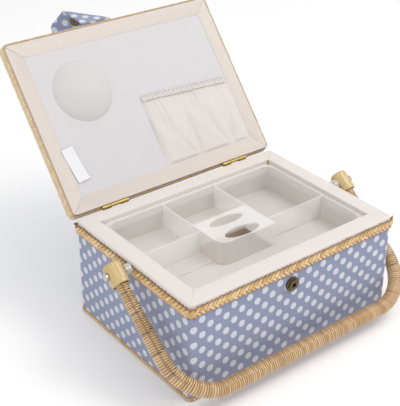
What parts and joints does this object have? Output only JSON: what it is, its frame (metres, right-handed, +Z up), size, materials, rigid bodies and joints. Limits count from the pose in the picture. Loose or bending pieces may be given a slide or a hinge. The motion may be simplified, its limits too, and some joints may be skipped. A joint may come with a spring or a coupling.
{
  "type": "sewing box",
  "caption": "Rectangular cloth-covered sewing box with a padded hinged lid, a snap tab, a swinging straw-wrapped handle and a lift-out tray.",
  "frame": {"origin": "centre of the box's underside", "axes": "+Z up, -Y the front with the snap, +X to the right seen from the front; the lid stands open towards +Y"},
  "size_m": [0.3754, 0.4861, 0.3031],
  "materials": {
    "dotted_fabric": "woven cotton, small pale dots on blue",
    "lining_fabric": "plain woven lining",
    "cream_canvas": "plain woven canvas",
    "cream_twill": "twill tape",
    "panel_fabric": "fine plain cotton",
    "cushion_fabric": "fine plain cotton over stuffing",
    "satin": "white satin, blank",
    "straw": "plaited straw-coloured cord",
    "board": "fibreboard",
    "foam": "thin foam padding",
    "antique_metal": "antique bronze plating",
    "brass": "polished",
    "steel": "plated",
    "clear_plastic": "clear",
    "core_plastic": "extruded rod",
    "fitting_plastic": "moulded, straw gold",
    "frosted_plastic": "frosted, translucent"
  },
  "bodies": {
    "box": {"base_cover": "dotted_fabric", "base_board": "board", "base_lining": "lining_fabric", "outer_cover": "dotted_fabric", "inner_lining": "lining_fabric", "wall_front": "board", "wall_back": "board", "wall_left": "board", "wall_right": "board", "rim_rail_front": "board", "rim_rail_back": "board", "rim_rail_left": "board", "rim_rail_right": "board", "rim_cloth_front": "cream_canvas", "rim_cloth_back": "cream_canvas", "rim_cloth_left": "cream_canvas", "rim_cloth_right": "cream_canvas", "top_braid": "straw", "bottom_trim": "straw", "front_snap_socket": "antique_metal", "front_snap_washer": "antique_metal", "hinge_lower_leaves": "brass", "hinge_lower_screws": "brass", "hinge_pins": "brass", "handle_pivot_screws": "steel", "handle_washers": "clear_plastic"},
    "lid": {"lid_board": "board", "lid_padding": "foam", "lid_cover": "dotted_fabric", "lid_edge_band": "straw", "lid_border_front": "cream_twill", "lid_border_back": "cream_twill", "lid_border_left": "cream_twill", "lid_border_right": "cream_twill", "lid_inner_panel": "panel_fabric", "pincushion": "cushion_fabric", "pocket": "panel_fabric", "pocket_elastic": "panel_fabric", "blank_label": "satin", "hinge_upper_leaves": "brass", "hinge_upper_screws": "brass", "tab_root": "dotted_fabric"},
    "tab_base": {"tab_strap": "dotted_fabric"},
    "tab_flap": {"tab_end": "dotted_fabric", "snap_stud": "antique_metal", "snap_cap": "antique_metal"},
    "handle": {"handle_core": "core_plastic", "handle_wrap": "straw", "handle_fitting_left": "fitting_plastic", "handle_fitting_right": "fitting_plastic"},
    "tray": {"tray": "frosted_plastic"}
  },
  "joints": [
    {"name": "lid_hinge", "type": "hinge", "parent": "box", "child": "lid", "pos_m": [0, 0.113, 0.13], "axis": [-1, 0, 0], "range_deg": [-130, 0]},
    {"name": "handle_swing", "type": "hinge", "parent": "box", "child": "handle", "pos_m": [0, -0.0052, 0.122], "axis": [-1, 0, 0], "range_deg": [-4, 188]},
    {"name": "tray_lift", "type": "slide", "parent": "box", "child": "tray", "axis": [0, 0, 1], "range_m": [0, 0.06]},
    {"name": "tab_fold", "type": "hinge", "parent": "lid", "child": "tab_base", "pos_m": [0, 0.27316, 0.29769], "axis": [-1, 0, 0], "range_deg": [-135, 25]},
    {"name": "tab_curl", "type": "hinge", "parent": "tab_base", "child": "tab_flap", "pos_m": [-0.0085, 0.30105, 0.30013], "axis": [-0.6428, 0.7631, 0.0668], "range_deg": [-88, 10]}
  ]
}
